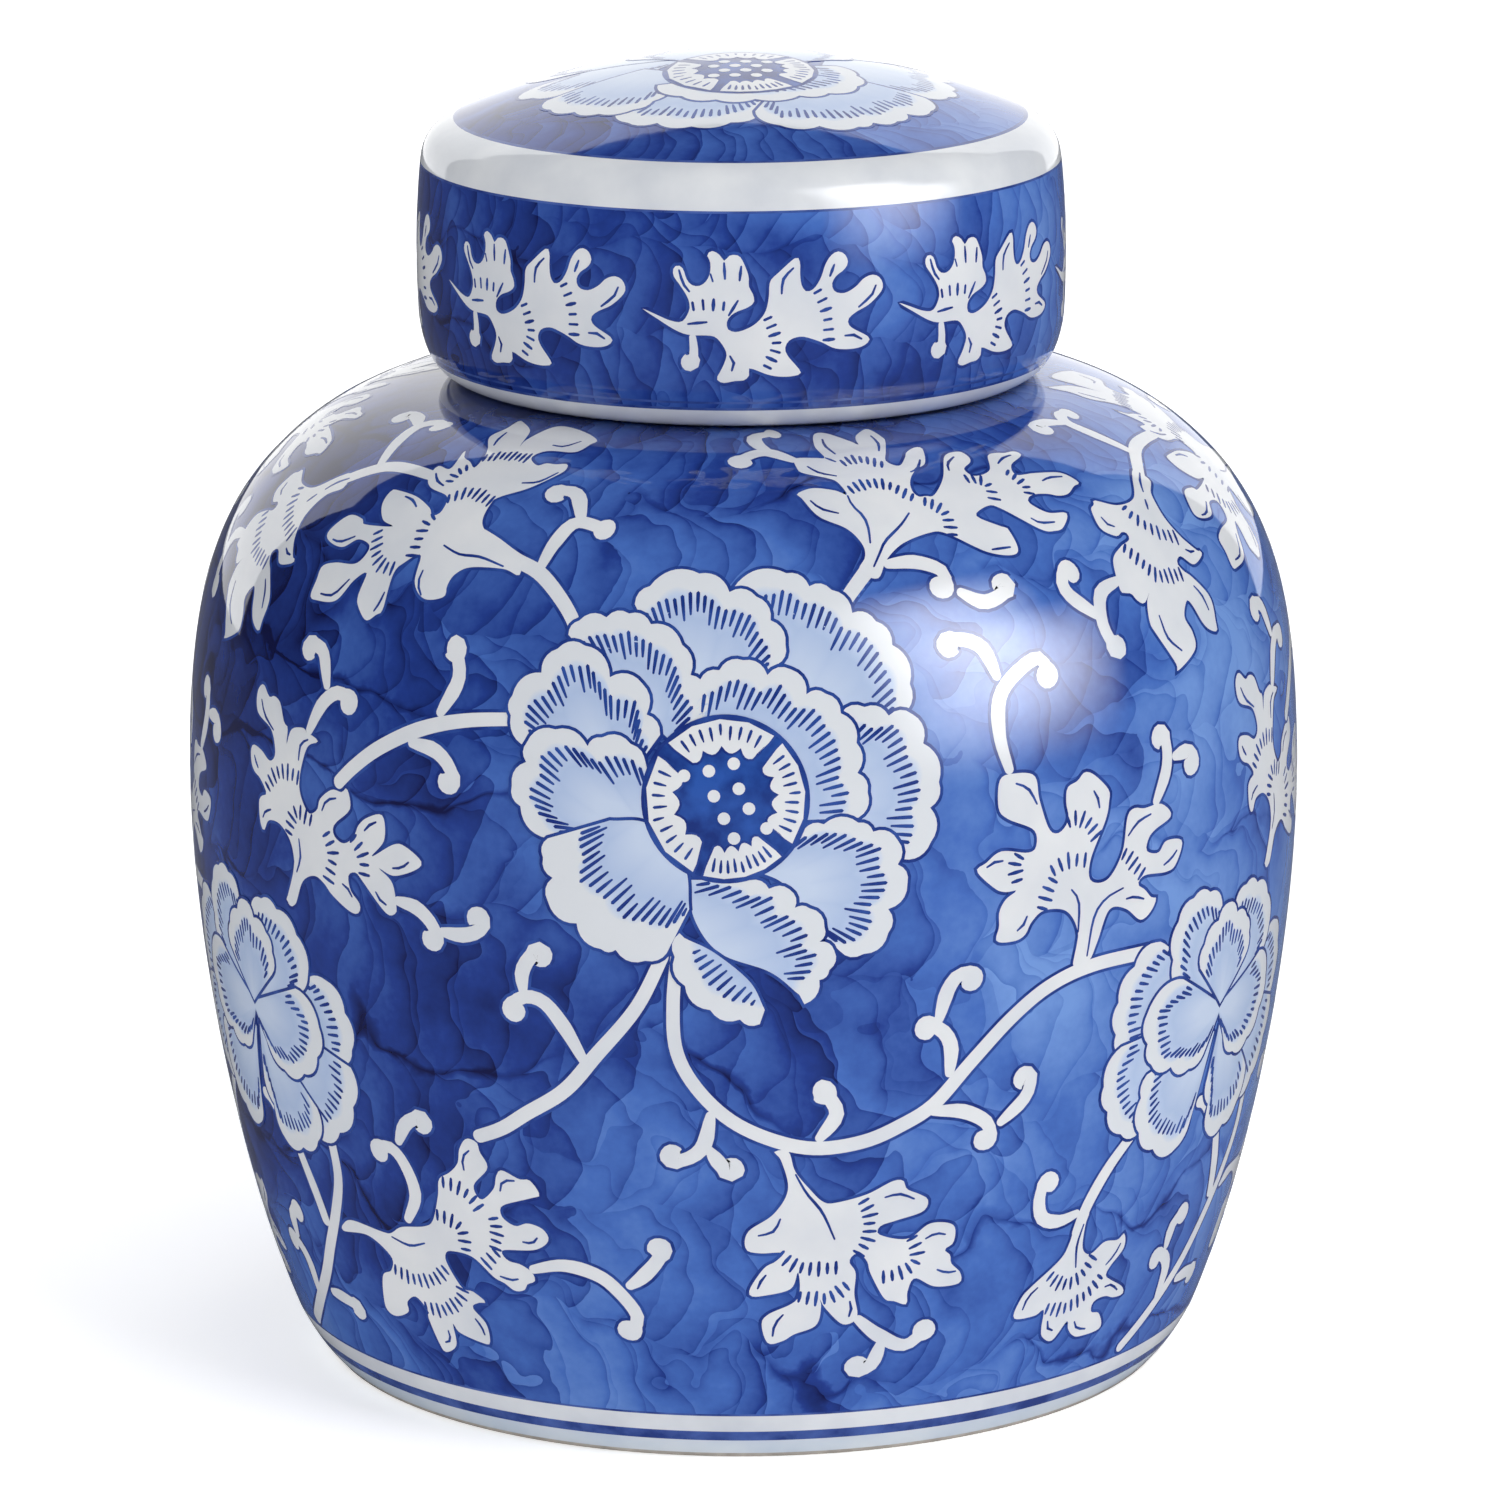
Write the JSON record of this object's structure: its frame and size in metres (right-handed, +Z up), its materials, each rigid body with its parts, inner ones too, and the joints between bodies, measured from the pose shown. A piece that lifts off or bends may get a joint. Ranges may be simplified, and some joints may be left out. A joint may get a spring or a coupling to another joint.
{
  "type": "ginger jar",
  "caption": "Round-shouldered ceramic ginger jar in blue and white, with a flat foot ring and a domed cap lid that lifts off its neck.",
  "frame": {"origin": "middle of the foot ring, on the plane the jar stands on", "axes": "+Z up along the axis the jar is turned about; the largest painted flower faces -Y"},
  "size_m": [0.236, 0.236, 0.2772],
  "materials": {
    "jar_glaze": "gloss, cobalt and white under a clear glaze",
    "neck_glaze": "gloss, white under a clear glaze, hidden by the lid",
    "lid_glaze": "gloss, cobalt and white under a clear glaze"
  },
  "bodies": {
    "jar": {"jar_body": "jar_glaze", "neck_collar": "neck_glaze"},
    "lid": {"lid": "lid_glaze"}
  },
  "joints": [
    {"name": "lid_lift", "type": "slide", "parent": "jar", "child": "lid", "axis": [0, 0, 1], "range_m": [0, 0.15]}
  ]
}
